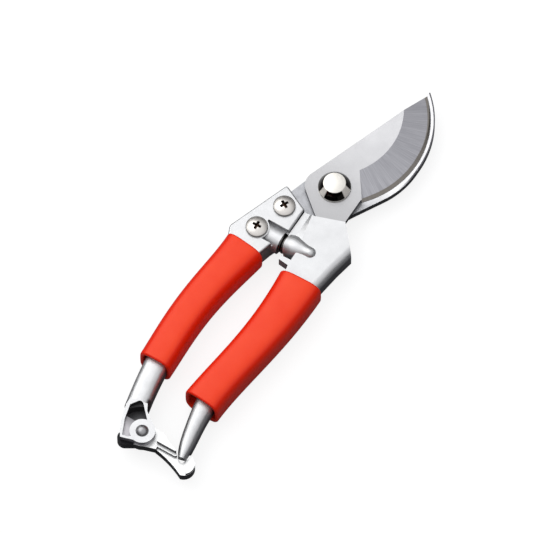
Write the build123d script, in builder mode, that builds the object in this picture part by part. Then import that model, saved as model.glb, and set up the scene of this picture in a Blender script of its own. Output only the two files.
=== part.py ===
from build123d import *
from math import asin, atan2, cos, pi, sin
import os

# Bypass pruner, closed and latched. Millimetres, +Z up, +Y along the tool to the blade tips.
# The origin is on the pivot axis, in the plane that the tool lies on (the pivot nut's underside).

# ---- driving dimensions ----
mid_height = 8.5              # the plane where the two blades slide on each other
counter_blade_thickness = 3.5
cutting_blade_thickness = 3.0
blade_top = mid_height + cutting_blade_thickness
counter_blade_bottom = mid_height - counter_blade_thickness

head_bottom = 2.0             # underside of both handle heads
counter_head_top = 14.5
recess_floor = 11.6           # the counter head's top drops to this beside the rear screw
blade_head_top = 14.0
edge_round = 0.8              # cast edge of the heads

grip_half_height = 8.45
grip_wall = 2.0
grip_squareness = 3.6         # exponent of the oval section, 2 is an ellipse

shank_radius = 4.0            # pivot bolt
bush_radius = 5.0
fit_clearance = 0.03          # radial, turning and hand-fitted pins
hub_radius = 11.0             # counter blade around the pivot
head_relief_radius = 15.8     # counter blade stays inside this, the turning head outside it

spring_line_y = -32.7         # the return spring lies along X at this Y
spring_radius = 4.25          # outside of the wire
spring_wire = 1.35
spring_left_end = -12.2
spring_right_end = 2.8
spring_turns = 9
boss_radius = 5.5
pocket_radius = 4.55
counter_boss_end = -6.5
blade_boss_end = -2.7

pin_x, pin_y = -10.7, -140.5  # rivet of the catch
ear_radius = 5.6
fork_bottom, fork_top = 4.4, 14.0
slot_bottom, slot_top = 6.2, 11.0
slot_radius = 12.6
catch_washer_thickness = 0.55
catch_bottom, catch_ledge_top, catch_top = 6.8, 9.4, 10.9
catch_arm_bottom = 5.0         # outside the fork the arm is deeper than the hub
pin_radius = 2.0
tip_underside = 9.65          # the blade handle's tip is thinned to this height over the catch

screw_radius = 2.5
pan_radius, pan_height = 4.75, 2.5
flat_screw_radius, flat_screw_length = 4.95, 11.3
counter_screws = {"front": (-13.0, -20.0), "rear": (-18.0, -34.4)}
blade_screws = {"front": (8.5, -21.5), "rear": (11.0, -31.5)}

# Bars: (centre x, y, half width) at stations along each handle
counter_grip_line = [(-18.1, -43.4, 9.4), (-19.9, -56, 8.4), (-22.1, -71, 7.9), (-23.2, -87, 7.7),
                     (-22.9, -110.4, 7.5)]
blade_grip_line = [(10.8, -45.6, 10.1), (10.7, -60, 9.4), (9.4, -76, 8.7), (6.8, -94, 8.3),
                   (3.8, -116.4, 8.6)]
counter_tail_line = [(-23.1, -100, 5.4), (-22.1, -112, 5.3), (-20.4, -124, 5.2), (-18.9, -132, 5.2)]
blade_tail_line = [(5.9, -106, 5.0), (5.2, -117, 4.5), (6.6, -127.5, 3.8), (8.2, -136, 3.1),
                   (9.7, -142, 1.7)]
counter_core_end = -101.0
blade_core_end = -107.0

os.makedirs("parts", exist_ok=True)


# ---- helpers ----
def finish(piece, name):
    piece.part.label = name
    export_step(piece.part, f"parts/{name}.step")


def oval_face(plane, half_width, half_height, squareness):
    """A closed oval between an ellipse and a rectangle."""
    count = 20
    power = 2 / squareness
    points = []
    for step in range(count):
        angle = 2 * pi * step / count
        x, y = cos(angle), sin(angle)
        points.append((half_width * abs(x) ** power * (1 if x >= 0 else -1),
                       half_height * abs(y) ** power * (1 if y >= 0 else -1)))
    with BuildSketch(plane) as section:
        with BuildLine():
            Spline(*points, periodic=True)
        make_face()
    return section.sketch


def bar_sections(line, half_heights, squareness, wall=0.0, centre_height=mid_height):
    """Oval faces along a bar, each square to the bar's line, thinned by wall all round."""
    faces = []
    for index, (x, y, half_width) in enumerate(line):
        before = line[max(index - 1, 0)]
        after = line[min(index + 1, len(line) - 1)]
        along = Vector(after[0] - before[0], after[1] - before[1], 0).normalized()
        across = Vector(-along.Y, along.X, 0)
        plane = Plane(origin=(x, y, centre_height), x_dir=across, z_dir=along)
        faces.append(oval_face(plane, half_width - wall, half_heights[index] - wall, squareness))
    return faces


def beyond(point, angle, distance):
    return point[0] + distance * cos(angle), point[1] + distance * sin(angle)


def dome_arc(radius, low, high):
    """Three points of a round dome from its rim to its top on the axis."""
    sphere = (radius ** 2 + (high - low) ** 2) / (2 * (high - low))
    half_angle = asin(radius / sphere) / 2
    return (radius, low), (sphere * sin(half_angle), high - sphere * (1 - cos(half_angle))), (0, high)


def half_space_box(y_limit):
    """Everything on the tail side of y_limit, as a box sketch for cutting."""
    with BuildSketch(Plane.XY.offset(-5)) as area:
        with Locations((0, y_limit - 100)):
            Rectangle(200, 200)
    return area.sketch


# ---- cutting blade ----
# A flat plate with one round cutting edge, a wide main bevel and a narrow sharpening bevel.
tip_point = (11.4, 58.7)
heel_point = (15.0, 3.4)
heel_notch = (13.0, 0.9)
edge_middle = (24.0, 29.5)
bevel_top_start = (7.1, 48.1)
bevel_top_middle = (10.8, 29.0)
bevel_top_end = (5.0, 12.5)
spine_angle = atan2(tip_point[1], tip_point[0] + 12.0)
far_out = 30.0
sharpened_width = 1.7


def bevel_cutter(inner_arc, outer_arc, inner_height, outer_height):
    """Solid above a ruled surface from an upper inner arc to a lower outer arc."""
    heel_line = atan2(heel_notch[1] - bevel_top_end[1], heel_notch[0] - bevel_top_end[0])
    far_heel = beyond(bevel_top_end, heel_line, far_out)
    faces = []
    for arc, height in ((inner_arc, inner_height), (outer_arc, outer_height)):
        start, middle, end = arc
        with BuildSketch(Plane.XY.offset(height)) as face:
            with BuildLine():
                ThreePointArc(start, middle, end)
                Polyline(end, far_heel, (60, 30), (14, 75), start)
            make_face()
        faces.append(face.sketch)
    return faces


main_inner = (beyond(bevel_top_start, spine_angle + pi / 2 + 0.5, 1.2), bevel_top_middle, bevel_top_end)
main_outer = (beyond(tip_point, spine_angle + pi / 2 - 0.2, 1.2), edge_middle, heel_notch)
main_bevel = bevel_cutter(main_inner, main_outer, blade_top, mid_height + 0.6)
edge_inner = (beyond(main_outer[0], -0.75, -sharpened_width),
              (edge_middle[0] - sharpened_width, edge_middle[1]),
              (heel_notch[0] - 0.5 * sharpened_width, heel_notch[1] + 0.85 * sharpened_width))
edge_bevel = bevel_cutter(edge_inner, main_outer, mid_height + 0.9, mid_height + 0.12)

with BuildPart() as cutting_blade:
    with BuildSketch(Plane.XY.offset(mid_height)):
        with BuildLine():
            ThreePointArc(tip_point, edge_middle, heel_point)
            Polyline(heel_point, heel_notch, (12.6, 0.3), (12.3, -11.4), (13.6, -21), (14.6, -33.5))
            ThreePointArc((14.6, -33.5), (11.4, -36.4), (8.0, -34.0))
            Polyline((8.0, -34.0), (5.2, -24), (2.6, -16.6), (-0.2, -15.6), (-10.4, -7.0))
            ThreePointArc((-10.4, -7.0), (-12.1, -4.0), (-12.0, 0))
            Line((-12.0, 0), tip_point)
        make_face()
    extrude(amount=cutting_blade_thickness)
    loft(sections=main_bevel, ruled=True, mode=Mode.SUBTRACT)
    loft(sections=edge_bevel, ruled=True, mode=Mode.SUBTRACT)
    with Locations((0, 0, blade_top)):
        Hole(radius=bush_radius + fit_clearance / 2)
    with Locations(*[(x, y, blade_top) for x, y in blade_screws.values()]):
        Hole(radius=screw_radius + fit_clearance)
finish(cutting_blade, "cutting_blade")

# ---- counter blade ----
# The hook under the cutting blade: a curved bar that ends in a blunt tip, a round hub and a tang.
with BuildPart() as counter_blade:
    with BuildSketch(Plane.XY.offset(counter_blade_bottom)) :
        with BuildLine():
            ThreePointArc((11.3, 61.0), (23.4, 42.9), (25.6, 26.4))
            TangentArc((25.6, 26.4), (20.3, 7.2), tangent=(0, -1))
            Polyline((20.3, 7.2), (12.4, -6.0), (0, -2), (2, 10.5), (8.4, 7.5))
            ThreePointArc((8.4, 7.5), (17.8, 30.4), (10.7, 59.6))
            Line((10.7, 59.6), (11.3, 61.0))
        make_face()
        Circle(hub_radius)
        with BuildLine():
            Polyline((0, 0), (12.4, -6.0))
            ThreePointArc((12.4, -6.0), (6.5, -12.2), (0, -13.8))
            Polyline((0, -13.8), (0, 0))
        make_face()
        with BuildLine():
            Polyline((-11.7, 0.9), (-16.15, -11.6), (-15.9, -13.4), (-23.2, -35.5), (-22.0, -40),
                     (-15.2, -40))
            Polyline((-15.2, -40), (-14.6, -29.5), (-8.4, -26.5), (-7.4, -18.2), (-4.6, -15.1))
            ThreePointArc((-4.6, -15.1), (-2.4, -15.62), (0, -head_relief_radius))
            Polyline((0, -head_relief_radius), (0, 0.9), (-11.7, 0.9))
        make_face()
    extrude(amount=counter_blade_thickness)
    with BuildSketch(Plane.XY.offset(counter_blade_bottom)):
        Circle(shank_radius + fit_clearance)
        Rectangle(2 * shank_radius + 2, 1.7 * shank_radius, mode=Mode.INTERSECT)
    extrude(amount=counter_blade_thickness, mode=Mode.SUBTRACT)
    with Locations(*[(x, y, mid_height) for x, y in counter_screws.values()]):
        Hole(radius=screw_radius + fit_clearance)
finish(counter_blade, "counter_blade")

# ---- counter handle ----
counter_core = bar_sections(counter_grip_line, [grip_half_height] * 5, grip_squareness, grip_wall)
counter_tail = bar_sections(counter_tail_line, [5.7, 5.6, 5.4, 5.1], 3.2)
counter_outer = bar_sections(counter_grip_line, [grip_half_height] * 5, grip_squareness)

# round ear of the fork, as three points of its outline
ear_start = beyond((pin_x, pin_y), 1.2, ear_radius)
ear_middle = beyond((pin_x, pin_y), -0.25, ear_radius)
ear_end = beyond((pin_x, pin_y), -1.75, ear_radius)

with BuildSketch(Plane.XY.offset(slot_top - 0.1)) as pocket_outline:
    with BuildLine():
        Polyline((-18.6, -128.6), (-21.4, -132.6), (-20.0, -139.3), (-17.0, -146.4), (-14.6, -146.0),
                 (-12.0, -143.5), (-9.0, -141.0), (-11.4, -135.2), (-17.0, -129.2), close=True)
    make_face()
    fillet(pocket_outline.vertices().group_by(Axis.Y)[-1], radius=0.9)
    with Locations((pin_x, pin_y)):
        Circle(ear_radius - 0.2, mode=Mode.SUBTRACT)

with BuildPart() as counter_handle:
    # head: a flat block with the corner over the grip rounded
    with BuildSketch(Plane.XY.offset(head_bottom)) as head_plan:
        with BuildLine():
            Polyline((-17.2, -10.7), (-5.0, -16.7), (-5.3, -28.6), (-9.2, -38.8), (-11.4, -46), (-14, -52),
                     (-25, -52), (-26.4, -44.5), (-28.5, -39.4), close=True)
        make_face()
        fillet(head_plan.vertices().sort_by(Axis.X)[0], radius=3)
        fillet(head_plan.vertices().group_by(Axis.Y)[-1], radius=1.0)
    extrude(amount=counter_head_top - head_bottom)
    fillet(counter_handle.faces().sort_by(Axis.Z)[-1].edges(), radius=edge_round)
    fillet(counter_handle.faces().sort_by(Axis.Z)[0].edges(), radius=edge_round)
    # the head's top drops beside the rear screw, and the round spring boss shows there
    with BuildSketch(Plane.XY.offset(recess_floor)):
        with Locations((-10.4, -33.2)):
            Rectangle(10.4, 9.2)
        with Locations(counter_screws["rear"]):
            Circle(pan_radius + 0.65, mode=Mode.SUBTRACT)
    extrude(amount=counter_head_top - recess_floor, mode=Mode.SUBTRACT)
    with BuildSketch(Plane(origin=(spring_left_end - 3, spring_line_y, mid_height),
                           x_dir=(0, 1, 0), z_dir=(1, 0, 0))):
        Circle(boss_radius)
    extrude(amount=counter_boss_end - spring_left_end + 3)
    # core in the grip, tail and the forked end
    loft(sections=counter_core)
    add(half_space_box(counter_core_end))
    extrude(amount=30, mode=Mode.SUBTRACT)
    loft(sections=counter_tail)
    with BuildSketch(Plane.XY.offset(slot_bottom)):
        with BuildLine():
            Polyline(ear_end, (-17.3, -147.7), (-18.6, -145.6), (-21.2, -139.6), (-23.0, -133.2),
                     (-22.9, -130.0), (-15.2, -128.5), (-13.6, -131.6), ear_start)
            ThreePointArc(ear_start, ear_middle, ear_end)
        make_face()
    extrude(amount=fork_top - slot_bottom)
    # the lower ear is smaller than the upper one
    with BuildSketch(Plane.XY.offset(fork_bottom)):
        with BuildLine():
            Polyline((-13.2, -144.0), (-20.4, -139.2), (-22.5, -132.8), (-22.4, -130.2), (-15.4, -128.5),
                     (-13.9, -131.6), (-8.0, -137.2))
            ThreePointArc((-8.0, -137.2), (-7.4, -143.2), (-13.2, -144.0))
        make_face()
    extrude(amount=slot_bottom - fork_bottom)
    # teardrop recess round the ear: a shallow groove, and an opening into the slot at its upper end
    with BuildSketch(Plane.XY.offset(fork_top - 1.6)):
        add(pocket_outline.sketch)
    extrude(amount=3, mode=Mode.SUBTRACT)
    with BuildSketch(Plane.XY.offset(slot_top - 0.1)):
        add(pocket_outline.sketch)
        with Locations((-16, -127.5)):
            Rectangle(16, 20, mode=Mode.INTERSECT)
    extrude(amount=fork_top - slot_top + 1, mode=Mode.SUBTRACT)
    # slot for the catch
    with BuildSketch(Plane.XY.offset(slot_bottom)):
        with Locations((pin_x, pin_y)):
            Circle(slot_radius)
    extrude(amount=slot_top - slot_bottom, mode=Mode.SUBTRACT)
    with Locations((pin_x, pin_y, fork_top)):
        Hole(radius=pin_radius + fit_clearance)
    # spring pocket, tang slot, screw holes and nut recesses
    with BuildSketch(Plane(origin=(spring_left_end, spring_line_y, mid_height),
                           x_dir=(0, 1, 0), z_dir=(1, 0, 0))):
        Circle(pocket_radius)
    extrude(amount=12, mode=Mode.SUBTRACT)
    add(counter_blade.part, mode=Mode.SUBTRACT)
    with Locations(*[(x, y, counter_head_top) for x, y in counter_screws.values()]):
        Hole(radius=screw_radius + fit_clearance)
    with BuildSketch(Plane.XY.offset(head_bottom)):
        with Locations(*counter_screws.values()):
            RegularPolygon(radius=4.1, side_count=6, major_radius=False)
    extrude(amount=1.7, mode=Mode.SUBTRACT)
finish(counter_handle, "counter_handle")

with BuildPart() as counter_grip:
    loft(sections=counter_outer)
    loft(sections=counter_core, mode=Mode.SUBTRACT)
    add(counter_handle.part, mode=Mode.SUBTRACT)
finish(counter_grip, "counter_grip")

# ---- blade handle ----
blade_core = bar_sections(blade_grip_line, [grip_half_height] * 5, grip_squareness, grip_wall)
blade_tail = bar_sections(blade_tail_line, [5.5, 5.3, 5.1, 4.9, 4.2], 2.7)
blade_outer = bar_sections(blade_grip_line, [grip_half_height] * 5, grip_squareness)

ledge_height = 12.9
outer_round = 3.5             # the outer side of the blade head is rounded to the palm
with BuildSketch(Plane.XY.offset(ledge_height)) as ledge_low:
    Polygon((-6, -15), (-1.9, -15), (-1.9, -30.8), (-6, -30.8), align=None)
with BuildSketch(Plane.XY.offset(blade_head_top + 0.3)) as ledge_high:
    Polygon((-6, -15), (-1.2, -15), (2.5, -30.8), (-6, -30.8), align=None)

ridge_plane = Plane(origin=(blade_boss_end, spring_line_y, mid_height + 0.8),
                    x_dir=(cos(0.36), 0, sin(0.36)), z_dir=(0, -1, 0))
with BuildPart() as blade_handle:
    # head: five-sided block with the closing stop on its inner side
    with BuildSketch(Plane.XY.offset(head_bottom)):
        with BuildLine():
            Polyline((-4.6, -17.2), (0.2, -17.0), (12.9, -12.6), (23.0, -24.6), (21.1, -33), (19.3, -44),
                     (17.5, -54), (4, -54), (2.3, -42.4), (2.2, -38.2), (2.4, -30.4), (-4.95, -30.2),
                     close=True)
        make_face()
    extrude(amount=blade_head_top - head_bottom)
    for face in (blade_handle.faces().sort_by(Axis.Z)[-1], blade_handle.faces().sort_by(Axis.Z)[0]):
        outer_edges = face.edges().filter_by_position(Axis.X, 16, 24)
        fillet(outer_edges.filter_by_position(Axis.Y, -53, -25), radius=outer_round)
    # small lug below the spring
    with BuildSketch(Plane.XY.offset(6.5)):
        Polygon((-2.9, -41.4), (5, -42.3), (5, -39.0), (-2.9, -39.4), align=None)
    extrude(amount=5.7)
    # stop ledge with its slanted face
    loft(sections=[ledge_low.sketch, ledge_high.sketch], ruled=True, mode=Mode.SUBTRACT)
    # spring boss and the ridge that runs out of it over the head
    with BuildSketch(Plane(origin=(blade_boss_end, spring_line_y, mid_height),
                           x_dir=(0, 1, 0), z_dir=(1, 0, 0))):
        Circle(boss_radius)
    extrude(amount=7)
    with BuildSketch(ridge_plane):
        with BuildLine():
            Polyline((0, 0), (0, 5.2))
            Spline((0, 5.2), (3.2, 5.1), (7.6, 3.5), (11.0, 2.6), tangents=((1, 0), (1, -0.15)))
            ThreePointArc((11.0, 2.6), (12.7, 1.8), (13.4, 0))
            Line((13.4, 0), (0, 0))
        make_face()
    revolve(axis=Axis(ridge_plane.origin, ridge_plane.x_dir), revolution_arc=360)
    # core in the grip, and the tail with its thinned tip
    loft(sections=blade_core)
    add(half_space_box(blade_core_end))
    extrude(amount=30, mode=Mode.SUBTRACT)
    loft(sections=blade_tail)
    with BuildSketch(Plane.XY):
        with Locations((10, -146.4)):
            Rectangle(20, 20)
    extrude(amount=tip_underside, mode=Mode.SUBTRACT)
    # spring pocket, tang slot and screw holes from the back
    with BuildSketch(Plane(origin=(spring_right_end, spring_line_y, mid_height),
                           x_dir=(0, 1, 0), z_dir=(-1, 0, 0))):
        Circle(pocket_radius)
    extrude(amount=12, mode=Mode.SUBTRACT)
    add(cutting_blade.part, mode=Mode.SUBTRACT)
    with Locations(*[Location((x, y, head_bottom), (180, 0, 0)) for x, y in blade_screws.values()]):
        CounterSinkHole(radius=screw_radius + fit_clearance, counter_sink_radius=flat_screw_radius,
                        depth=flat_screw_length, counter_sink_angle=90)
finish(blade_handle, "blade_handle")

with BuildPart() as blade_grip:
    loft(sections=blade_outer)
    loft(sections=blade_core, mode=Mode.SUBTRACT)
    add(blade_handle.part, mode=Mode.SUBTRACT)
finish(blade_grip, "blade_grip")

# ---- pivot: bolt, bush, washer and nut ----
bolt_head_radius, bolt_face_radius = 7.1, 4.8
bolt_rim, bolt_head_height = 0.9, 4.6
washer_radius, washer_thickness = 7.0, 1.0
nut_across_flats, nut_height = 13.0, 4.0

with BuildPart() as pivot_bolt:
    with BuildSketch(Plane.XZ):
        with BuildLine():
            Polyline((0, 0), (shank_radius - 0.5, 0), (shank_radius, 0.5), (shank_radius, blade_top),
                     (bolt_head_radius, blade_top), (bolt_head_radius, blade_top + bolt_rim),
                     (bolt_face_radius + 0.3, blade_top + bolt_head_height - 0.25),
                     (bolt_face_radius - 0.1, blade_top + bolt_head_height),
                     (0, blade_top + bolt_head_height), close=True)
        make_face()
    revolve(axis=Axis.Z)
    # two flats keep the bolt from turning in the counter blade
    with BuildSketch(Plane.XY.offset(counter_blade_bottom)):
        Circle(2 * shank_radius)
        Rectangle(4 * shank_radius, 1.7 * shank_radius - 2 * fit_clearance, mode=Mode.SUBTRACT)
    extrude(amount=counter_blade_thickness, mode=Mode.SUBTRACT)
finish(pivot_bolt, "pivot_bolt")

with BuildPart() as pivot_bush:
    with BuildSketch(Plane.XY.offset(mid_height)):
        Circle(bush_radius)
        Circle(shank_radius + fit_clearance, mode=Mode.SUBTRACT)
    extrude(amount=cutting_blade_thickness)
finish(pivot_bush, "pivot_bush")

with BuildPart() as pivot_washer:
    with BuildSketch(Plane.XY.offset(nut_height)):
        Circle(washer_radius)
        Circle(shank_radius + fit_clearance, mode=Mode.SUBTRACT)
    extrude(amount=washer_thickness)
    fillet(pivot_washer.edges().filter_by(GeomType.CIRCLE).group_by(SortBy.RADIUS)[-1], radius=0.2)
finish(pivot_washer, "pivot_washer")

with BuildPart() as pivot_nut:
    with BuildSketch():
        RegularPolygon(radius=nut_across_flats / 2, side_count=6, major_radius=False)
        Circle(shank_radius + fit_clearance, mode=Mode.SUBTRACT)
    extrude(amount=nut_height)
    # turned corners on both ends
    with BuildSketch(Plane.XZ):
        with BuildLine():
            Polyline((0, 0), (nut_across_flats / 2, 0), (nut_across_flats / 2 + 1.1, 0.6),
                     (nut_across_flats / 2 + 1.1, nut_height - 0.6), (nut_across_flats / 2, nut_height),
                     (0, nut_height), close=True)
        make_face()
    revolve(axis=Axis.Z, mode=Mode.INTERSECT)
finish(pivot_nut, "pivot_nut")

# ---- screws and nuts of the heads ----
cross_length, cross_width, cross_depth = 4.1, 1.35, 1.8


def pan_screw(x, y, angle, name):
    """Pan-head screw from the top of the counter head, with a cross recess."""
    with BuildPart() as screw:
        with BuildSketch(Plane(origin=(x, y, counter_head_top), x_dir=(1, 0, 0), z_dir=(0, -1, 0))):
            with BuildLine():
                Polyline((0, pan_height), (0, 1.2 - counter_head_top),
                         (screw_radius, 1.2 - counter_head_top), (screw_radius, 0),
                         (pan_radius, 0), (pan_radius, 0.9))
                ThreePointArc(*dome_arc(pan_radius, 0.9, pan_height))
            make_face()
        revolve(axis=Axis((x, y, 0), (0, 0, 1)))
        with BuildSketch(Plane(origin=(x, y, counter_head_top + pan_height),
                               x_dir=(1, 0, 0), z_dir=(0, 0, 1))):
            with Locations(Rotation(0, 0, angle)):
                Rectangle(cross_length, cross_width)
                Rectangle(cross_width, cross_length)
        extrude(amount=-cross_depth, taper=14, mode=Mode.SUBTRACT)
    finish(screw, name)


def thin_nut(x, y, name):
    """Thin hex nut let into the back of the counter head."""
    with BuildPart() as nut:
        with BuildSketch(Plane.XY.offset(head_bottom - 1.0)):
            with Locations((x, y)):
                RegularPolygon(radius=4.0, side_count=6, major_radius=False)
                Circle(screw_radius + fit_clearance, mode=Mode.SUBTRACT)
        extrude(amount=2.7)
        chamfer(nut.faces().sort_by(Axis.Z)[0].outer_wire().edges(), length=0.3)
    finish(nut, name)


def flat_screw(x, y, angle, name):
    """Countersunk screw from the back of the blade head, through the tang."""
    with BuildPart() as screw:
        with BuildSketch(Plane(origin=(x, y, head_bottom), x_dir=(1, 0, 0), z_dir=(0, -1, 0))):
            with BuildLine():
                Polyline((0, 0), (2 * screw_radius - 0.1, 0), (screw_radius, 2.4), (screw_radius, 10.6),
                         (screw_radius - 0.5, 11.1), (0, 11.1), close=True)
            make_face()
        revolve(axis=Axis((x, y, 0), (0, 0, 1)))
        with BuildSketch(Plane(origin=(x, y, head_bottom), x_dir=(1, 0, 0), z_dir=(0, 0, -1))):
            with Locations(Rotation(0, 0, angle)):
                Rectangle(cross_length, cross_width)
                Rectangle(cross_width, cross_length)
        extrude(amount=-cross_depth, taper=14, mode=Mode.SUBTRACT)
    finish(screw, name)


for place, angle in (("front", -28), ("rear", 3)):
    pan_screw(*counter_screws[place], angle, f"counter_screw_{place}")
    thin_nut(*counter_screws[place], f"counter_nut_{place}")
    flat_screw(*blade_screws[place], 3 * angle, f"blade_screw_{place}")

# ---- return spring ----
spring_middle_radius = spring_radius - spring_wire / 2
spring_length = spring_right_end - spring_left_end - spring_wire
with BuildPart() as return_spring:
    with BuildLine():
        coil = Helix(pitch=spring_length / spring_turns, height=spring_length, radius=spring_middle_radius,
                     center=(spring_left_end + spring_wire / 2, spring_line_y, mid_height),
                     direction=(1, 0, 0))
    with BuildSketch(Plane(origin=coil @ 0, z_dir=coil % 0)):
        Circle(spring_wire / 2)
    sweep(path=coil, is_frenet=True)
finish(return_spring, "return_spring")

# ---- catch with its rivet and friction washer ----
with BuildPart() as catch:
    # hub, web and thumb tab in the slot of the fork
    with BuildSketch(Plane.XY.offset(catch_bottom)):
        with Locations((pin_x, pin_y)):
            Circle(5.8)
        Polygon((-9.5, -135.0), (-3.6, -135.9), (-2.0, -143.6), (-10.0, -146.1), align=None)
        with BuildLine():
            Polyline((-10.4, -146.2), (-14.6, -148.7))
            ThreePointArc((-14.6, -148.7), (-18.1, -148.3), (-19.4, -145.4))
            Polyline((-19.4, -145.4), (-16.2, -137.6), (-10.4, -146.2))
        make_face()
    extrude(amount=catch_top - catch_bottom)
    # arm and nose
    with BuildSketch(Plane.XY.offset(catch_arm_bottom)):
        with BuildLine():
            Polyline((-2.6, -136.3), (1.4, -138.5), (7.2, -141.9), (10.4, -143.4), (11.9, -139.4))
            ThreePointArc((11.9, -139.4), (12.7, -138.4), (13.7, -139.1))
            ThreePointArc((13.7, -139.1), (16.3, -143.8), (12.5, -148.1))
            ThreePointArc((12.5, -148.1), (3.9, -144.6), (-2.6, -143.2))
            Line((-2.6, -143.2), (-2.6, -136.3))
        make_face()
    extrude(amount=catch_ledge_top - catch_arm_bottom)
    # rib along the arm's upper edge, with a slanted lower face
    with BuildSketch(Plane.XY.offset(catch_ledge_top - 0.5)) as rib_low:
        Polygon((-3.2, -136.1), (1.4, -138.6), (7.2, -141.6), (6.4, -142.3), (-3.2, -142.3), align=None)
    with BuildSketch(Plane.XY.offset(catch_top)) as rib_high:
        Polygon((-3.2, -136.1), (1.4, -138.6), (6.2, -140.6), (5.6, -140.9), (-3.2, -140.9), align=None)
    loft(sections=[rib_low.sketch, rib_high.sketch], ruled=True)
    # raised lip outside the tip
    with BuildSketch(Plane.XY.offset(catch_ledge_top - 0.5)):
        with BuildLine():
            Polyline((13.6, -141.4), (15.62, -141.19))
            ThreePointArc((15.62, -141.19), (16.12, -144.04), (14.62, -146.86))
            Polyline((14.62, -146.86), (13.52, -145.63), (13.6, -141.4))
        make_face()
    extrude(amount=1.9)
    with Locations((pin_x, pin_y, catch_top)):
        Hole(radius=pin_radius + fit_clearance)
finish(catch, "catch")

with BuildPart() as catch_washer:
    with BuildSketch(Plane.XY.offset(slot_bottom)):
        with Locations((pin_x, pin_y)):
            Circle(5.0)
            Circle(pin_radius + fit_clearance, mode=Mode.SUBTRACT)
    extrude(amount=catch_washer_thickness)
finish(catch_washer, "catch_washer")

with BuildPart() as catch_pin:
    with BuildSketch(Plane(origin=(pin_x, pin_y, 0), x_dir=(1, 0, 0), z_dir=(0, -1, 0))):
        with BuildLine():
            Polyline((0, fork_top + 1.7), (0, fork_bottom - 1.3))
            ThreePointArc(*dome_arc(2.8, fork_bottom, fork_bottom - 1.3))
            Polyline((2.8, fork_bottom), (pin_radius, fork_bottom), (pin_radius, fork_top), (2.8, fork_top))
            ThreePointArc(*dome_arc(2.8, fork_top, fork_top + 1.7))
        make_face()
    revolve(axis=Axis((pin_x, pin_y, 0), (0, 0, 1)))
finish(catch_pin, "catch_pin")
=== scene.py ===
import math

import bmesh
import bpy
import numpy as np
from mathutils import Matrix, Vector


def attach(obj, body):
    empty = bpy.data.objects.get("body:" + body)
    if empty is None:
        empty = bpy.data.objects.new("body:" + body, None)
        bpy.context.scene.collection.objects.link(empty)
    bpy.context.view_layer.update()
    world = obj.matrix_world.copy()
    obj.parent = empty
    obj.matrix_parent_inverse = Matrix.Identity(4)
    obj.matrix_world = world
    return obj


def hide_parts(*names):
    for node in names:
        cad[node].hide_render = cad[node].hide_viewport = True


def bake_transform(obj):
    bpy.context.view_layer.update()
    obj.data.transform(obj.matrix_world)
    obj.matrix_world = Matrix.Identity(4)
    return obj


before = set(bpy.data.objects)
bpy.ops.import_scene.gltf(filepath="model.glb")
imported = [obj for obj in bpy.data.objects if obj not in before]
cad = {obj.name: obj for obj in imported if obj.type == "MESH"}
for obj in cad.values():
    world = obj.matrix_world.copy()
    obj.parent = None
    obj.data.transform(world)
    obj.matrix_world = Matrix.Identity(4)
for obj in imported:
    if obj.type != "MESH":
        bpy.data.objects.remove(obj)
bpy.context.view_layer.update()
scene = bpy.context.scene
MM = 0.001

# ---- Camera ----
# The closed pruner lies flat on a table. It is seen steeply from above, from its tail side,
# through a long lens, with the blades pointing up and to the right.
aim = Vector((-6.4, -45.7, 8.5)) * MM
to_camera = Vector((0.2177, -0.3622, 0.9063)).normalized()
CAMERA_DISTANCE = 5.0
camera_data = bpy.data.cameras.new("camera")
camera_data.lens = 793.5
camera_data.sensor_width = 36
camera_data.clip_end = 30
camera = bpy.data.objects.new("camera", camera_data)
camera.location = aim + CAMERA_DISTANCE * to_camera
camera.rotation_euler = to_camera.to_track_quat("Z", "Y").to_euler()
scene.collection.objects.link(camera)
scene.camera = camera


# ---- Counter blade ----
# The hook that the shoot rests on while it is cut. Stamped from carbon tool steel, ground flat
# on both faces and tumbled, so its faces are satin. Its outer corner and its sides are painted dark as
# painted shade.
def add_node(tree, kind, inputs=None, **settings):
    """One node of a finish. Each input is a number, a colour or another node's output."""
    made = tree.nodes.new(kind)
    for name, value in settings.items():
        setattr(made, name, value)
    for socket, value in (inputs or {}).items():
        if isinstance(value, bpy.types.NodeSocket):
            tree.links.new(value, made.inputs[socket])
        else:
            made.inputs[socket].default_value = value
    return made


def new_finish(name, metallic, **fixed):
    """An empty finish with its shader, and the place on the piece in metres."""
    material = bpy.data.materials.new(name)
    material.use_nodes = True
    tree = material.node_tree
    shader = tree.nodes["Principled BSDF"]
    shader.inputs["Metallic"].default_value = metallic
    for socket, value in fixed.items():
        shader.inputs[socket.replace("_", " ")].default_value = value
    place = tree.nodes.new("ShaderNodeTexCoord").outputs["Object"]
    return material, tree, shader, place


def feed(tree, shader, **outputs):
    """Links outputs to the shader's inputs, with an underscore for each space in a name."""
    for socket, output in outputs.items():
        tree.links.new(output, shader.inputs[socket.replace("_", " ")])


def grain(tree, place, size, detail=2.0):
    """Random mottle between 0 and 1 with patches of about the given size in millimetres."""
    spots = add_node(tree, "ShaderNodeTexNoise",
                     {"Vector": place, "Scale": 1000 / size, "Detail": detail, "Roughness": 0.6})
    return spots.outputs["Fac"]


def between(tree, share, low, high, start=0.3, end=0.7):
    """A number that goes from low to high as share goes from start to end."""
    ramp = add_node(tree, "ShaderNodeMapRange",
                    {"Value": share, "From Min": start, "From Max": end, "To Min": low, "To Max": high})
    return ramp.outputs[0]


def times(tree, first, second):
    """The product of two numbers."""
    return add_node(tree, "ShaderNodeMath", {0: first, 1: second}, operation="MULTIPLY").outputs[0]


def shade(tree, share, first, second):
    """A colour between two fixed colours."""
    return blend_colours(tree, share, (*first, 1), (*second, 1))


def blend_colours(tree, share, first, second):
    """A colour between two colours, each fixed or another node's output."""
    mix = add_node(tree, "ShaderNodeMix", {0: share, 6: first, 7: second}, data_type="RGBA")
    return mix.outputs[2]


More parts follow.
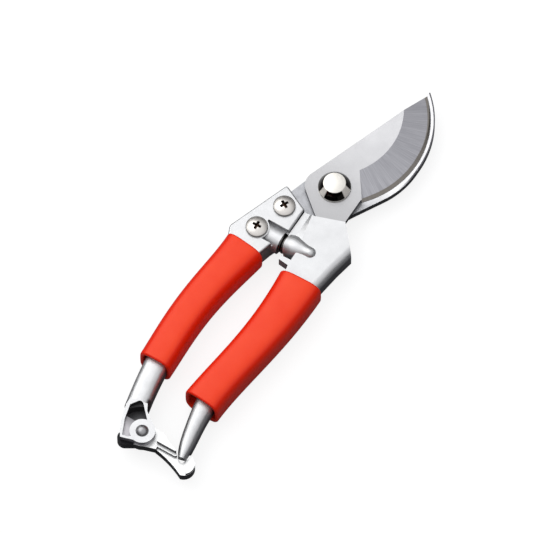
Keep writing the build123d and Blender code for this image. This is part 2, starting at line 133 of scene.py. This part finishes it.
def coordinate(tree, vector, axis):
    """One coordinate of a place or a direction."""
    return add_node(tree, "ShaderNodeSeparateXYZ", {0: vector}).outputs[axis]


def flatness(tree):
    """How flat the surface lies, from 0 on a wall to 1 on a face that looks straight up or down."""
    normal = tree.nodes.new("ShaderNodeNewGeometry").outputs["True Normal"]
    upward = coordinate(tree, normal, "Z")
    return add_node(tree, "ShaderNodeMath", {0: upward}, operation="ABSOLUTE").outputs[0]


def plan_angle(tree, place):
    """Angle in plan round the origin of the given place, in radians from +X."""
    sideways, lengthwise = coordinate(tree, place, "X"), coordinate(tree, place, "Y")
    return add_node(tree, "ShaderNodeMath", {0: lengthwise, 1: sideways}, operation="ARCTAN2").outputs[0]


def plan_distance(tree, place, centre):
    """Distance in plan, in metres, from a centre given in millimetres."""
    middle = Vector((*centre, 0)) * MM
    off = add_node(tree, "ShaderNodeVectorMath", {0: place, 1: middle}, operation="SUBTRACT")
    level = add_node(tree, "ShaderNodeVectorMath", {0: off.outputs[0], 1: (1, 1, 0)}, operation="MULTIPLY")
    return add_node(tree, "ShaderNodeVectorMath", {0: level.outputs[0]}, operation="LENGTH").outputs["Value"]


def outside(tree, place, centre, radius):
    """1 outside a circle in plan, given in millimetres, and 0 inside it."""
    distance = plan_distance(tree, place, centre)
    return between(tree, distance, 0, 1, (radius - 0.1) * MM, (radius + 0.1) * MM)


def raise_surface(tree, shader, height, distance):
    """Fine relief from a height, in millimetres."""
    bump = add_node(tree, "ShaderNodeBump", {"Height": height, "Distance": distance * MM, "Strength": 1.0})
    feed(tree, shader, Normal=bump.outputs[0])


def dress(node, material):
    """Gives a solid its finish."""
    cad[node].data.materials.clear()
    cad[node].data.materials.append(material)


counter_steel, tree, shader, place = new_finish("counter_steel", 1.0)
mottle = grain(tree, place, 0.6)
lengthwise = coordinate(tree, place, "Y")
# The tang near the hub is painted darker than the hook, as painted shade.
shaded_tang_tone = shade(tree, mottle, (0.32, 0.325, 0.34), (0.41, 0.415, 0.43))
hook_tone = shade(tree, mottle, (0.70, 0.70, 0.71), (0.80, 0.80, 0.81))
# Near black painted shade for the walls and the outer corner.
shaded_side_tone = shade(tree, mottle, (0.06, 0.06, 0.065), (0.12, 0.12, 0.13))
face = blend_colours(tree, between(tree, lengthwise, 0, 1, -4 * MM, 14 * MM), shaded_tang_tone, hook_tone)
# The painted shade along the outer corner follows the two arcs of the hook's outer edge, which meet at the
# bend.
CORNER_WIDTH, BEND = 0.6, 26
above_bend = between(tree, lengthwise, 0, 1, BEND * MM, (BEND + 1) * MM)
below_bend = times(tree, between(tree, lengthwise, 1, 0, BEND * MM, (BEND + 1) * MM),
                   between(tree, lengthwise, 0, 1, 13 * MM, 22 * MM))
for centre, radius, stretch in (((-16.76, 29.15), 42.45, above_bend), ((-11.83, 26.4), 37.43, below_bend)):
    shaded_corner = times(tree, outside(tree, place, centre, radius - CORNER_WIDTH), stretch)
    face = blend_colours(tree, shaded_corner, face, shaded_side_tone)
# The walls get the painted shade colour, and the flat faces the tang and hook colours.
tone = blend_colours(tree, between(tree, flatness(tree), 0, 1, 0.5, 0.95), shaded_side_tone, face)
feed(tree, shader, Base_Color=tone, Roughness=between(tree, grain(tree, place, 2.5), 0.34, 0.46))
raise_surface(tree, shader, mottle, 0.012)
dress("counter_blade", counter_steel)

# ---- Cutting blade ----
# The moving blade, hardened steel. Its faces are satin, and the cutting side carries a wide
# hollow-ground bevel with grinding lines square to the edge, then a narrow sharpened edge.
GRINDING_CENTRE = Vector((-15.7, 28.6, 0)) * MM
EDGE_CENTRE, EDGE_RADIUS, EDGE_WIDTH = (-17.33, 28.98), 41.34, 1.5
blade_steel, tree, shader, place = new_finish("blade_steel", 1.0)
fine = grain(tree, place, 0.5)
face = blend_colours(tree, between(tree, grain(tree, place, 9), 0, 1),
                     shade(tree, fine, (0.47, 0.47, 0.48), (0.58, 0.58, 0.59)),
                     shade(tree, fine, (0.53, 0.53, 0.54), (0.64, 0.64, 0.65)))
# The face is painted darker towards the hub, as painted shade.
shaded_hub_tone = shade(tree, fine, (0.32, 0.32, 0.325), (0.42, 0.42, 0.425))
toward_tip = between(tree, coordinate(tree, place, "Y"), 0, 1, -20 * MM, 30 * MM)
face = blend_colours(tree, toward_tip, shaded_hub_tone, face)
from_centre = add_node(tree, "ShaderNodeVectorMath", {0: place, 1: GRINDING_CENTRE},
                       operation="SUBTRACT").outputs[0]
reach = add_node(tree, "ShaderNodeVectorMath", {0: from_centre}, operation="LENGTH").outputs["Value"]
# The grain of the lines is laid out as arc length round the centre, and 25 times longer outward.
around = times(tree, plan_angle(tree, from_centre), 40 * MM)
along_lines = add_node(tree, "ShaderNodeCombineXYZ", {0: around, 1: times(tree, reach, 0.04)}).outputs[0]
lines = grain(tree, along_lines, 0.45, detail=4)
bevel = blend_colours(tree, between(tree, grain(tree, along_lines, 3.0, detail=1), 0, 1),
                      shade(tree, lines, (0.20, 0.20, 0.22), (0.50, 0.50, 0.53)),
                      shade(tree, lines, (0.25, 0.25, 0.27), (0.56, 0.56, 0.59)))
edge = shade(tree, lines, (0.19, 0.175, 0.16), (0.29, 0.27, 0.245))
bevel = blend_colours(tree, outside(tree, place, EDGE_CENTRE, EDGE_RADIUS - EDGE_WIDTH), bevel, edge)
# Each ground surface has its own slope: sides, sharpened edge, bevel and flat face. The sides are painted
# near black as painted shade.
lie = flatness(tree)
on_face = between(tree, lie, 0, 1, 0.994, 0.996)
bevel_or_edge = blend_colours(tree, between(tree, lie, 0, 1, 0.945, 0.955), edge, bevel)
shaded_side_tone = shade(tree, fine, (0.05, 0.05, 0.055), (0.10, 0.10, 0.11))
ground = blend_colours(tree, between(tree, lie, 0, 1, 0.70, 0.72), shaded_side_tone, bevel_or_edge)
feed(tree, shader, Base_Color=blend_colours(tree, on_face, ground, face),
     Roughness=between(tree, fine, 0.36, 0.46))
relief = add_node(tree, "ShaderNodeMix", {0: on_face, 2: lines, 3: fine}).outputs[0]
raise_surface(tree, shader, relief, 0.012)
dress("cutting_blade", blade_steel)


# ---- Pivot: bolt, bush, washer and nut ----
# A turned and polished steel bolt holds both blades. Its cone-shaped head sits on the cutting
# blade, a bronze bush is its bearing, and a zinc-plated nut and washer close it from below.
def new_piece(name, mesh, material, body, replaced):
    """Finishes a mesh: makes the object, gives it its material and ties it to the frame."""
    data = bpy.data.meshes.new(name)
    mesh.to_mesh(data)
    mesh.free()
    for polygon in data.polygons:
        polygon.use_smooth = True
    data.materials.append(material)
    piece = bpy.data.objects.new(name, data)
    scene.collection.objects.link(piece)
    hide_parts(*replaced)
    if body:
        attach(piece, body)
    return piece


def turned(profile, rounding, steps=72):
    """A part turned round the Z axis from its outline, (radius, height) in millimetres from
    bottom to top, with its corners rounded."""
    mesh = bmesh.new()
    points = [mesh.verts.new((radius, 0, height)) for radius, height in profile]
    for low, high in zip(points, points[1:]):
        mesh.edges.new((low, high))
    bmesh.ops.spin(mesh, geom=mesh.verts[:] + mesh.edges[:], cent=(0, 0, 0), axis=(0, 0, 1),
                   angle=2 * math.pi, steps=steps, use_merge=True)
    bmesh.ops.remove_doubles(mesh, verts=mesh.verts, dist=1e-5)
    bmesh.ops.recalc_face_normals(mesh, faces=mesh.faces)
    corners = [e for e in mesh.edges if e.is_manifold and e.calc_face_angle() > 0.3
               and abs(e.verts[0].co.z - e.verts[1].co.z) < 1e-5]
    bmesh.ops.bevel(mesh, geom=corners, offset=rounding, offset_type="OFFSET", affect="EDGES",
                    segments=3, profile=0.5, material=-1)
    bmesh.ops.scale(mesh, vec=(MM, MM, MM), verts=mesh.verts)
    return mesh


def angle_patch(tree, turn, middle, half):
    """1 within half of an angle either side of middle, in degrees, with soft ends, and 0 elsewhere."""
    off = add_node(tree, "ShaderNodeMath", {0: turn, 1: math.radians(middle)}, operation="SUBTRACT")
    apart = add_node(tree, "ShaderNodeMath", {0: off.outputs[0]}, operation="ABSOLUTE").outputs[0]
    return between(tree, apart, 1, 0, math.radians(half - 2), math.radians(half + 2))


# The cone is blued nearly black, with two bright, dull patches on two sides painted on as painted
# reflections.
SHANK, HEAD, FACE, BLADE_TOP, HEAD_TOP, RIM_TOP = 4.0, 7.1, 4.85, 11.5, 16.1, 12.35
pivot_chrome, tree, shader, place = new_finish("pivot_chrome", 1.0)
swirl = grain(tree, place, 1.2)
turn = plan_angle(tree, place)
# Two bright patches are painted on the cone as painted reflections.
painted_reflection_mask = add_node(tree, "ShaderNodeMath",
                  {0: angle_patch(tree, turn, -114, 14), 1: angle_patch(tree, turn, -2, 19)},
                  operation="MAXIMUM").outputs[0]
steel = shade(tree, swirl, (0.62, 0.60, 0.56), (0.72, 0.70, 0.65))
blued = shade(tree, swirl, (0.018, 0.016, 0.014), (0.040, 0.036, 0.030))
cone = blend_colours(tree, painted_reflection_mask, blued, shade(tree, swirl, (0.80, 0.76, 0.70), (0.92, 0.88, 0.82)))
lie = flatness(tree)
above_rim = between(tree, coordinate(tree, place, "Z"), 0, 1, RIM_TOP * MM, (RIM_TOP + 0.2) * MM)
on_cone = times(tree, above_rim, between(tree, lie, 1, 0, 0.75, 0.85))
painted_reflection_on_cone = times(tree, on_cone, painted_reflection_mask)
polish = between(tree, lie, 0.10, 0.30, 0.6, 0.9)
feed(tree, shader, Base_Color=blend_colours(tree, on_cone, steel, cone),
     Roughness=add_node(tree, "ShaderNodeMix", {0: painted_reflection_on_cone, 2: polish, 3: 0.5}).outputs[0],
     Metallic=between(tree, painted_reflection_on_cone, 1.0, 0.15, 0, 1))
bolt = turned([(0, 0), (SHANK - 0.5, 0), (SHANK, 0.5), (SHANK, BLADE_TOP), (HEAD, BLADE_TOP), (HEAD, RIM_TOP),
               (FACE, HEAD_TOP), (0, HEAD_TOP)], 0.18)
new_piece("pivot_bolt_polished", bolt, pivot_chrome, "counter_side", ["pivot_bolt"])

bush_bronze, tree, shader, place = new_finish("bush_bronze", 1.0)
feed(tree, shader, Base_Color=shade(tree, grain(tree, place, 0.5), (0.50, 0.30, 0.13), (0.66, 0.42, 0.20)),
     Roughness=between(tree, grain(tree, place, 1.5), 0.28, 0.42))
dress("pivot_bush", bush_bronze)

zinc_steel, tree, shader, place = new_finish("zinc_steel", 1.0)
patches = grain(tree, place, 1.8)
feed(tree, shader, Base_Color=shade(tree, patches, (0.46, 0.48, 0.52), (0.66, 0.68, 0.70)),
     Roughness=between(tree, patches, 0.24, 0.40))
raise_surface(tree, shader, grain(tree, place, 0.3), 0.01)
for node in ("pivot_washer", "pivot_nut", "counter_nut_front", "counter_nut_rear", "catch_washer",
             "blade_screw_front", "blade_screw_rear"):
    dress(node, zinc_steel)

# ---- Handles ----
# Both handles are cast aluminium. Their flat faces are linished and bead-blasted to a bright fine grain,
# and their sides are painted dark as painted shade. The tangs of the blades are let into them.
SPRING_PLACE, RIVET_PLACE = Vector((-6, -33, 9)) * MM, Vector((-14.5, -137.0, 11)) * MM
handle_alloy, tree, shader, place = new_finish("handle_alloy", 1.0)
speckle = grain(tree, place, 0.45, detail=3)
bright = blend_colours(tree, between(tree, grain(tree, place, 7), 0, 1),
                       shade(tree, speckle, (0.54, 0.545, 0.55), (0.72, 0.725, 0.73)),
                       shade(tree, speckle, (0.60, 0.605, 0.61), (0.78, 0.785, 0.79)))
# The sides are painted dark as painted shade, and less dark round the spring.
shaded_wall_tone = shade(tree, speckle, (0.09, 0.09, 0.095), (0.20, 0.20, 0.21))
lighter_wall_near_spring = shade(tree, speckle, (0.38, 0.38, 0.39), (0.54, 0.54, 0.55))
from_spring = add_node(tree, "ShaderNodeVectorMath", {0: place, 1: SPRING_PLACE}, operation="DISTANCE")
off_spring = between(tree, from_spring.outputs["Value"], 0, 1, 11 * MM, 15 * MM)
shaded_wall_tone = blend_colours(tree, off_spring, lighter_wall_near_spring, shaded_wall_tone)
# The walls get the painted shade, and the flat faces the bright grain.
tone = blend_colours(tree, between(tree, flatness(tree), 0, 1, 0.12, 0.62), shaded_wall_tone, bright)
# The pocket beside the rivet is painted dark at its top end and paler below, as painted shade.
from_rivet = add_node(tree, "ShaderNodeVectorMath", {0: place, 1: RIVET_PLACE}, operation="DISTANCE")
near_rivet = between(tree, from_rivet.outputs["Value"], 1, 0, 10.5 * MM, 11.5 * MM)
let_in = between(tree, coordinate(tree, place, "Z"), 1, 0, 12.9 * MM, 13.5 * MM)
shaded_pocket = blend_colours(tree, between(tree, coordinate(tree, place, "Y"), 0, 1, -142 * MM, -136 * MM),
                       shade(tree, speckle, (0.36, 0.35, 0.37), (0.54, 0.53, 0.55)),
                       shade(tree, speckle, (0.06, 0.06, 0.062), (0.14, 0.14, 0.145)))
tone = blend_colours(tree, times(tree, near_rivet, let_in), tone, shaded_pocket)
feed(tree, shader, Base_Color=tone, Roughness=between(tree, speckle, 0.40, 0.54))
raise_surface(tree, shader, speckle, 0.02)
dress("counter_handle", handle_alloy)
dress("blade_handle", handle_alloy)


# ---- Head screws ----
# Two nickel-plated pan-head screws with a cross recess clamp the counter blade in its handle.
# The recess and the line round the head are painted dark as painted shade.
def nickel(name, x, y):
    """The finish of one screw head, whose axis stands at (x, y) in millimetres."""
    material, tree, shader, place = new_finish(name, 1.0)
    reach = plan_distance(tree, place, (x, y))
    inner = between(tree, reach, 1, 0, 2.8 * MM, 2.9 * MM)
    deep = between(tree, coordinate(tree, place, "Z"), 1, 0, 16.2 * MM, 16.35 * MM)
    # The outer edge of the head is painted dark as painted shade.
    shaded_head_edge = between(tree, reach, 0, 1, 4.45 * MM, 4.7 * MM)
    patches = grain(tree, place, 1.2)
    plate = blend_colours(tree, shaded_head_edge, shade(tree, patches, (0.76, 0.73, 0.69), (0.88, 0.85, 0.81)),
                          shade(tree, patches, (0.12, 0.115, 0.11), (0.20, 0.19, 0.18)))
    # The cross recess is painted near black as painted shade.
    shaded_recess_tone = shade(tree, patches, (0.03, 0.016, 0.01), (0.07, 0.042, 0.028))
    feed(tree, shader, Base_Color=blend_colours(tree, times(tree, inner, deep), plate, shaded_recess_tone),
         Roughness=between(tree, patches, 0.34, 0.46))
    raise_surface(tree, shader, grain(tree, place, 0.4), 0.008)
    return material


dress("counter_screw_front", nickel("nickel_front", -13.0, -20.0))
dress("counter_screw_rear", nickel("nickel_rear", -18.0, -34.4))

# ---- Return spring ----
# A compression spring of black oiled spring wire sits in a pocket of each handle and pushes
# the pruner open when the catch lets go.
COIL_RADIUS, WIRE, TURNS, COIL_START, COIL_END, STEPS_A_TURN = 3.575, 1.35, 9, -11.5, 2.1, 36
spring_black, tree, shader, place = new_finish("spring_black", 1.0)
oil = grain(tree, place, 1.0)
feed(tree, shader, Base_Color=shade(tree, oil, (0.10, 0.095, 0.09), (0.20, 0.19, 0.18)),
     Roughness=between(tree, oil, 0.12, 0.22))
mesh = bmesh.new()
bmesh.ops.create_circle(mesh, segments=14, radius=WIRE / 2, cap_ends=False)
bmesh.ops.translate(mesh, vec=(COIL_START, COIL_RADIUS, 0), verts=mesh.verts)
steps = TURNS * STEPS_A_TURN
bmesh.ops.spin(mesh, geom=mesh.verts[:] + mesh.edges[:], cent=(0, 0, 0), axis=(1, 0, 0),
               angle=2 * math.pi * TURNS, dvec=((COIL_END - COIL_START) / steps, 0, 0), steps=steps)
bmesh.ops.holes_fill(mesh, edges=[e for e in mesh.edges if e.is_boundary])
bmesh.ops.translate(mesh, vec=(0, -32.7, 8.5), verts=mesh.verts)
bmesh.ops.scale(mesh, vec=(MM, MM, MM), verts=mesh.verts)
bmesh.ops.recalc_face_normals(mesh, faces=mesh.faces)
spring = new_piece("return_spring_coil", mesh, spring_black, None, ["return_spring"])
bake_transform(spring)

# ---- Grips ----
# Dip-moulded soft PVC sleeves, drawn over the handles while warm. They are glossy with a faint
# orange-peel skin, their ends are rolled round, and the lower ends stand open round the tail.
HALF_HEIGHT, WALL, MIDDLE, SQUARENESS = 8.45, 1.9, 8.5, 3.6


def oval(mesh, half, height, sides):
    """A squared oval loop round the origin, in the XY plane."""
    made = bmesh.ops.create_circle(mesh, segments=sides, radius=1, cap_ends=False)["verts"]
    for vert in made:
        vert.co.x = half * math.copysign(abs(vert.co.x) ** (2 / SQUARENESS), vert.co.x)
        vert.co.y = height * math.copysign(abs(vert.co.y) ** (2 / SQUARENESS), vert.co.y)
    return made


def sleeve(stations, sides=56, rings=26):
    """A bent oval tube through stations of (centre x, y, half width), with a wall and rolled ends."""
    xs, ys, halves = (np.array(column) for column in zip(*stations))
    centre, width = np.polyfit(ys, xs, 4), np.polyfit(ys, halves, 4)
    slope = np.polyder(centre)
    first, last = ys[0], ys[-1]
    roll = WALL / 2
    # (distance along the line, wall taken off): outside from top to bottom, then back inside
    rows = [(y, 0.0) for y in np.linspace(first - roll, last + roll, rings)]
    turn = [(math.sin(a) * roll, roll - math.cos(a) * roll) for a in np.linspace(0.35, math.pi - 0.35, 6)]
    rows += [(last + roll - out, inset) for out, inset in turn]
    rows += [(y, WALL) for y in np.linspace(last + roll, first - roll, rings)]
    rows += [(first - roll + out, WALL - inset) for out, inset in turn]
    mesh = bmesh.new()
    loops = []
    for y, inset in rows:
        made = oval(mesh, np.polyval(width, y) - inset, HALF_HEIGHT - inset, sides)
        side = Vector((1, -np.polyval(slope, y), 0)).normalized()
        along = Vector((0, 0, 1)).cross(side)
        stand = Matrix((side, Vector((0, 0, 1)), -along)).transposed().to_4x4()
        stand.translation = Vector((np.polyval(centre, y), y, MIDDLE))
        bmesh.ops.transform(mesh, matrix=stand, verts=made)
        loops.append(list({e for v in made for e in v.link_edges}))
    for one, two in zip(loops, loops[1:] + loops[:1]):
        bmesh.ops.bridge_loops(mesh, edges=one + two)
    bmesh.ops.recalc_face_normals(mesh, faces=mesh.faces)
    bmesh.ops.scale(mesh, vec=(MM, MM, MM), verts=mesh.verts)
    return mesh


grip_red, tree, shader, place = new_finish("grip_red", 0.0, Coat_Weight=0.12, Coat_Roughness=0.28,
                                           Specular_IOR_Level=0.2)
peel = grain(tree, place, 1.1, detail=3)
# The top is painted a lighter red and the sides a deeper red, as painted light and shade.
shaded_side_red = shade(tree, peel, (0.84, 0.018, 0.002), (0.88, 0.024, 0.003))
lit_top_red = blend_colours(tree, between(tree, grain(tree, place, 14), 0, 1),
                        shade(tree, peel, (0.94, 0.044, 0.007), (0.98, 0.056, 0.011)),
                        shade(tree, peel, (0.97, 0.058, 0.012), (1.0, 0.072, 0.018)))
red = blend_colours(tree, between(tree, flatness(tree), 0, 1, 0.82, 0.998), shaded_side_red, lit_top_red)
feed(tree, shader, Base_Color=red, Roughness=between(tree, peel, 0.34, 0.46))
raise_surface(tree, shader, peel, 0.02)
counter_line = [(-18.1, -43.4, 9.4), (-19.9, -56, 8.4), (-22.1, -71, 7.9), (-23.2, -87, 7.7),
                (-22.9, -110.4, 7.5)]
blade_line = [(10.8, -45.6, 10.1), (10.7, -60, 9.4), (9.4, -76, 8.7), (6.8, -94, 8.3),
              (3.8, -116.4, 8.6)]
new_piece("counter_grip_sleeve", sleeve(counter_line), grip_red, "counter_side", ["counter_grip"])
new_piece("blade_grip_sleeve", sleeve(blade_line), grip_red, "blade_side", ["blade_grip"])

# ---- Catch and its rivet ----
# A small cast aluminium lever holds the pruner closed: its nose goes over the blade handle's
# tip. It turns on a steel rivet in the forked end, with a thin washer for friction.
catch_alloy, tree, shader, place = new_finish("catch_alloy", 1.0)
speckle = grain(tree, place, 0.45, detail=3)
# The walls are painted near black as painted shade, and the flat faces bright.
tone = blend_colours(tree, between(tree, flatness(tree), 0, 1, 0.6, 0.98),
                     shade(tree, speckle, (0.025, 0.025, 0.028), (0.07, 0.07, 0.075)),
                     shade(tree, speckle, (0.72, 0.725, 0.72), (0.88, 0.885, 0.88)))
# The thumb tab, at the outer end, is painted near black as painted shade.
shaded_thumb_tab = times(tree, between(tree, coordinate(tree, place, "X"), 1, 0, -11.5 * MM, -10.5 * MM),
                  between(tree, coordinate(tree, place, "Y"), 1, 0, -144.0 * MM, -143.0 * MM))
tone = blend_colours(tree, shaded_thumb_tab, tone, shade(tree, speckle, (0.012, 0.012, 0.013), (0.03, 0.03, 0.032)))
feed(tree, shader, Base_Color=tone, Roughness=between(tree, speckle, 0.36, 0.50))
raise_surface(tree, shader, speckle, 0.02)
dress("catch", catch_alloy)

rivet_steel, tree, shader, place = new_finish("rivet_steel", 1.0)
hammer = grain(tree, place, 0.9)
feed(tree, shader, Base_Color=shade(tree, hammer, (0.30, 0.30, 0.31), (0.46, 0.46, 0.47)),
     Roughness=between(tree, hammer, 0.30, 0.45))
raise_surface(tree, shader, hammer, 0.03)
dress("catch_pin", rivet_steel)

# ---- Studio ----
# A plain white table and one large soft light over the far left side, with a dim room around.
# The table glows a little where it is looked at, and reflects little light onto the tool.
floor_white, tree, shader, place = new_finish("floor_white", 0.0, Roughness=0.9, Specular_IOR_Level=0.0)
shader.inputs["Base Color"].default_value = (0.24, 0.24, 0.24, 1)
shader.inputs["Emission Color"].default_value = (1, 1, 1, 1)
shader.inputs["Emission Strength"].default_value = 0.83
dull = add_node(tree, "ShaderNodeBsdfDiffuse", {"Color": (0.22, 0.22, 0.23, 1)})
looked_at = tree.nodes.new("ShaderNodeLightPath").outputs["Is Camera Ray"]
table_top = add_node(tree, "ShaderNodeMixShader", {0: looked_at, 1: dull.outputs[0], 2: shader.outputs[0]})
tree.links.new(table_top.outputs[0], tree.nodes["Material Output"].inputs["Surface"])
mesh = bmesh.new()
bmesh.ops.create_grid(mesh, x_segments=1, y_segments=1, size=15)
bmesh.ops.translate(mesh, vec=(0, 0, -0.4 * MM), verts=mesh.verts)
data = bpy.data.meshes.new("table")
mesh.to_mesh(data)
mesh.free()
data.materials.append(floor_white)
table = bpy.data.objects.new("table", data)
scene.collection.objects.link(table)

LIGHT_SIZE, LIGHT_DISTANCE = 1.4, 1.3
toward_light = Vector((-0.62, 0.10, 0.75)).normalized()
lamp = bpy.data.lights.new("top_light", "AREA")
lamp.shape = "RECTANGLE"
lamp.size, lamp.size_y = LIGHT_SIZE, LIGHT_SIZE
lamp.energy = 9.0
light = bpy.data.objects.new("top_light", lamp)
light.location = aim + LIGHT_DISTANCE * toward_light
light.rotation_euler = toward_light.to_track_quat("Z", "Y").to_euler()
light.visible_camera = False
scene.collection.objects.link(light)

# The room is bright overhead and nearly dark near the horizon, with a white backdrop.
world = bpy.data.worlds.new("room")
world.use_nodes = True
sky = world.node_tree
height = coordinate(sky, sky.nodes.new("ShaderNodeTexCoord").outputs["Generated"], "Z")
glow = add_node(sky, "ShaderNodeMapRange",
                {"Value": height, "From Min": 0.25, "From Max": 0.8, "To Min": 0.02, "To Max": 0.92},
                interpolation_type="SMOOTHSTEP").outputs[0]
looked_at = sky.nodes.new("ShaderNodeLightPath").outputs["Is Camera Ray"]
backdrop = add_node(sky, "ShaderNodeMix", {0: looked_at, 2: glow, 3: 1.0}).outputs[0]
sky.nodes["Background"].inputs["Color"].default_value = (1.0, 1.0, 1.02, 1)
sky.links.new(backdrop, sky.nodes["Background"].inputs["Strength"])
scene.world = world
scene.view_settings.view_transform = "Standard"
